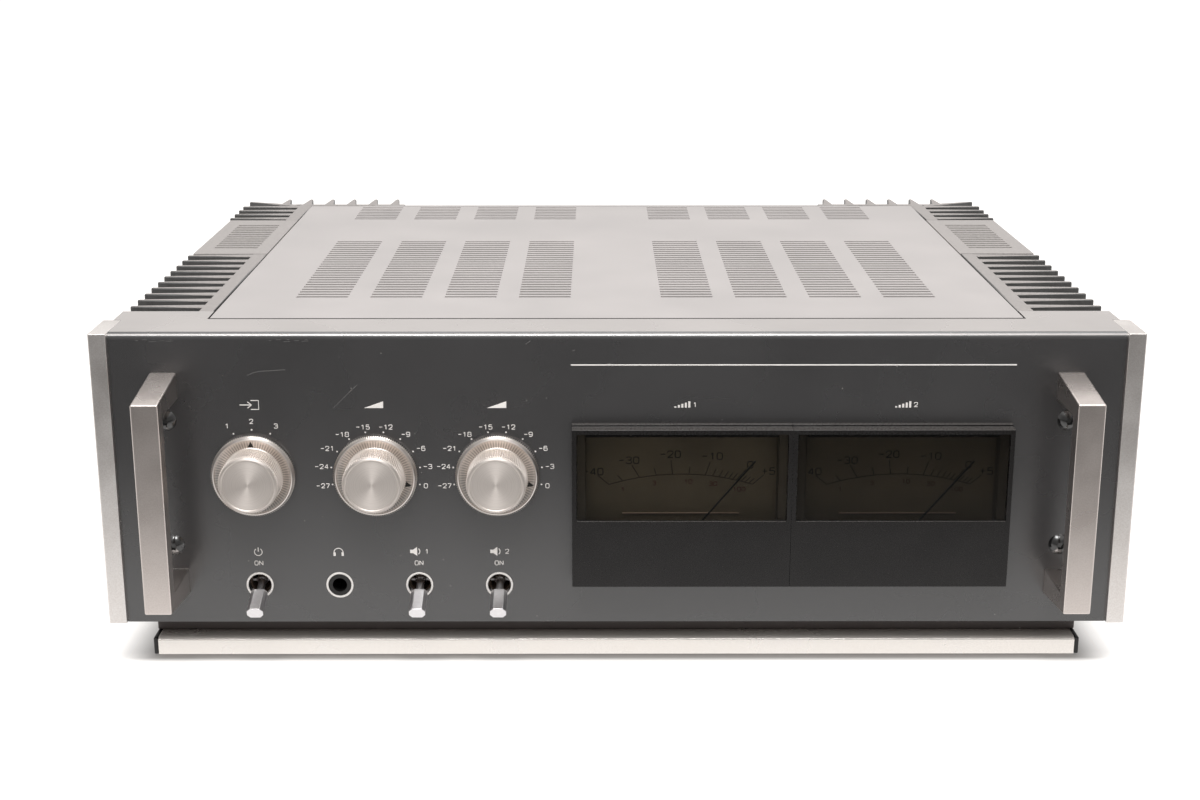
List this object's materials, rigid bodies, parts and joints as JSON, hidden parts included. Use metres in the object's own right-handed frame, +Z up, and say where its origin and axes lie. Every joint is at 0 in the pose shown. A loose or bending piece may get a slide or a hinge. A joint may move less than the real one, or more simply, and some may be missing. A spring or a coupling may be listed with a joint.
{
  "type": "stereo power amplifier",
  "caption": "Stereo power amplifier with side heatsinks, front handles, level knobs, toggle switches and swinging-needle meters in a painted metal case.",
  "frame": {"origin": "middle of the footprint, on the surface under the rubber strips", "axes": "+Z up, -Y out of the front panel, +X to the right seen from the front"},
  "size_m": [0.452, 0.3852, 0.1515],
  "materials": {
    "anthracite_paint": "satin anthracite paint",
    "cover_paint": "satin warm grey paint",
    "heatsink_anodised": "dark anodised extrusion",
    "bare_aluminium": "fine blasted aluminium",
    "turned_aluminium": "spun and clear anodised",
    "black_screw": "black oxide",
    "zinc_steel": "zinc plated sheet and fasteners",
    "meter_plastic": "moulded black plastic",
    "smoked_lens": "smoked clear plastic",
    "dial_print": "printed dark dial",
    "needle_paint": "black painted pointer",
    "black_plastic": "moulded black plastic",
    "rubber": "black rubber",
    "winding": "wound core under yellow tape",
    "capacitor_sleeve": "shrunk sleeve",
    "board": "green circuit board",
    "phenolic": "brown phenolic switch",
    "red_plastic": "moulded red plastic",
    "brass_plated": "plated brass"
  },
  "bodies": {
    "chassis": {"front_panel": "anthracite_paint", "side_trim_left": "bare_aluminium", "side_trim_right": "bare_aluminium", "handle_left": "bare_aluminium", "handle_right": "bare_aluminium", "handle_bolts": "zinc_steel", "panel_screws": "black_screw", "front_bracket_left": "zinc_steel", "front_bracket_right": "zinc_steel", "sub_panel": "zinc_steel", "top_cover": "cover_paint", "heatsink_front_left": "heatsink_anodised", "heatsink_front_right": "heatsink_anodised", "vent_block_left": "heatsink_anodised", "vent_block_right": "heatsink_anodised", "heatsink_rear_left": "heatsink_anodised", "heatsink_rear_right": "heatsink_anodised", "rear_panel": "anthracite_paint", "rear_panel_screws": "zinc_steel", "bottom_plate": "zinc_steel", "plinth": "anthracite_paint", "front_rail": "bare_aluminium", "rear_rail": "bare_aluminium", "rail_end_caps": "black_plastic", "foot_strips": "rubber", "input_selector": "phenolic", "level_controls": "zinc_steel", "bushing_nuts": "zinc_steel", "toggle_switches": "black_plastic", "phones_socket": "black_plastic", "meter_housing_left": "meter_plastic", "meter_housing_right": "meter_plastic", "meter_lens_left": "smoked_lens", "meter_lens_right": "smoked_lens", "meter_dial_left": "dial_print", "meter_dial_right": "dial_print", "meter_movements": "zinc_steel", "power_transformer": "winding", "transformer_clamp": "zinc_steel", "filter_capacitors": "capacitor_sleeve", "capacitor_rings": "zinc_steel", "bridge_rectifier": "black_plastic", "amplifier_boards": "board", "output_transistors": "zinc_steel", "speaker_sockets_red": "red_plastic", "speaker_sockets_black": "black_plastic", "input_sockets": "brass_plated", "mains_inlet": "black_plastic", "fuse_holder": "black_plastic"},
    "input_knob": {"input_knob": "turned_aluminium", "input_shaft": "zinc_steel"},
    "left_level": {"left_level_knob": "turned_aluminium", "left_level_shaft": "zinc_steel"},
    "right_level": {"right_level_knob": "turned_aluminium", "right_level_shaft": "zinc_steel"},
    "power_lever": {"power_lever": "turned_aluminium"},
    "speaker_a_lever": {"speaker_a_lever": "turned_aluminium"},
    "speaker_b_lever": {"speaker_b_lever": "turned_aluminium"},
    "needle_left": {"meter_needle_left": "needle_paint"},
    "needle_right": {"meter_needle_right": "needle_paint"}
  },
  "joints": [
    {"name": "input_turn", "type": "hinge", "parent": "chassis", "child": "input_knob", "pos_m": [-0.1584, -0.1571, 0.088], "axis": [0, -1, 0], "range_deg": [-24, 24]},
    {"name": "left_level_turn", "type": "hinge", "parent": "chassis", "child": "left_level", "pos_m": [-0.10525, -0.1571, 0.088], "axis": [0, -1, 0], "range_deg": [0, 207]},
    {"name": "right_level_turn", "type": "hinge", "parent": "chassis", "child": "right_level", "pos_m": [-0.0521, -0.1571, 0.088], "axis": [0, -1, 0], "range_deg": [0, 207]},
    {"name": "power_toggle", "type": "hinge", "parent": "chassis", "child": "power_lever", "pos_m": [-0.1584, -0.1501, 0.0365], "axis": [-1, 0, 0], "range_deg": [0, 37.6]},
    {"name": "speaker_a_toggle", "type": "hinge", "parent": "chassis", "child": "speaker_a_lever", "pos_m": [-0.08753, -0.1501, 0.0365], "axis": [-1, 0, 0], "range_deg": [0, 37.6]},
    {"name": "speaker_b_toggle", "type": "hinge", "parent": "chassis", "child": "speaker_b_lever", "pos_m": [-0.0521, -0.1501, 0.0365], "axis": [-1, 0, 0], "range_deg": [0, 37.6]},
    {"name": "needle_left_swing", "type": "hinge", "parent": "chassis", "child": "needle_left", "pos_m": [0.02805, -0.1571, 0.0555], "axis": [0, -1, 0], "range_deg": [-9.1, 89.1], "stiffness_Nm_per_rad": 0.001},
    {"name": "needle_right_swing", "type": "hinge", "parent": "chassis", "child": "needle_right", "pos_m": [0.12345, -0.1571, 0.0555], "axis": [0, -1, 0], "range_deg": [-9.1, 89.1], "stiffness_Nm_per_rad": 0.001}
  ]
}
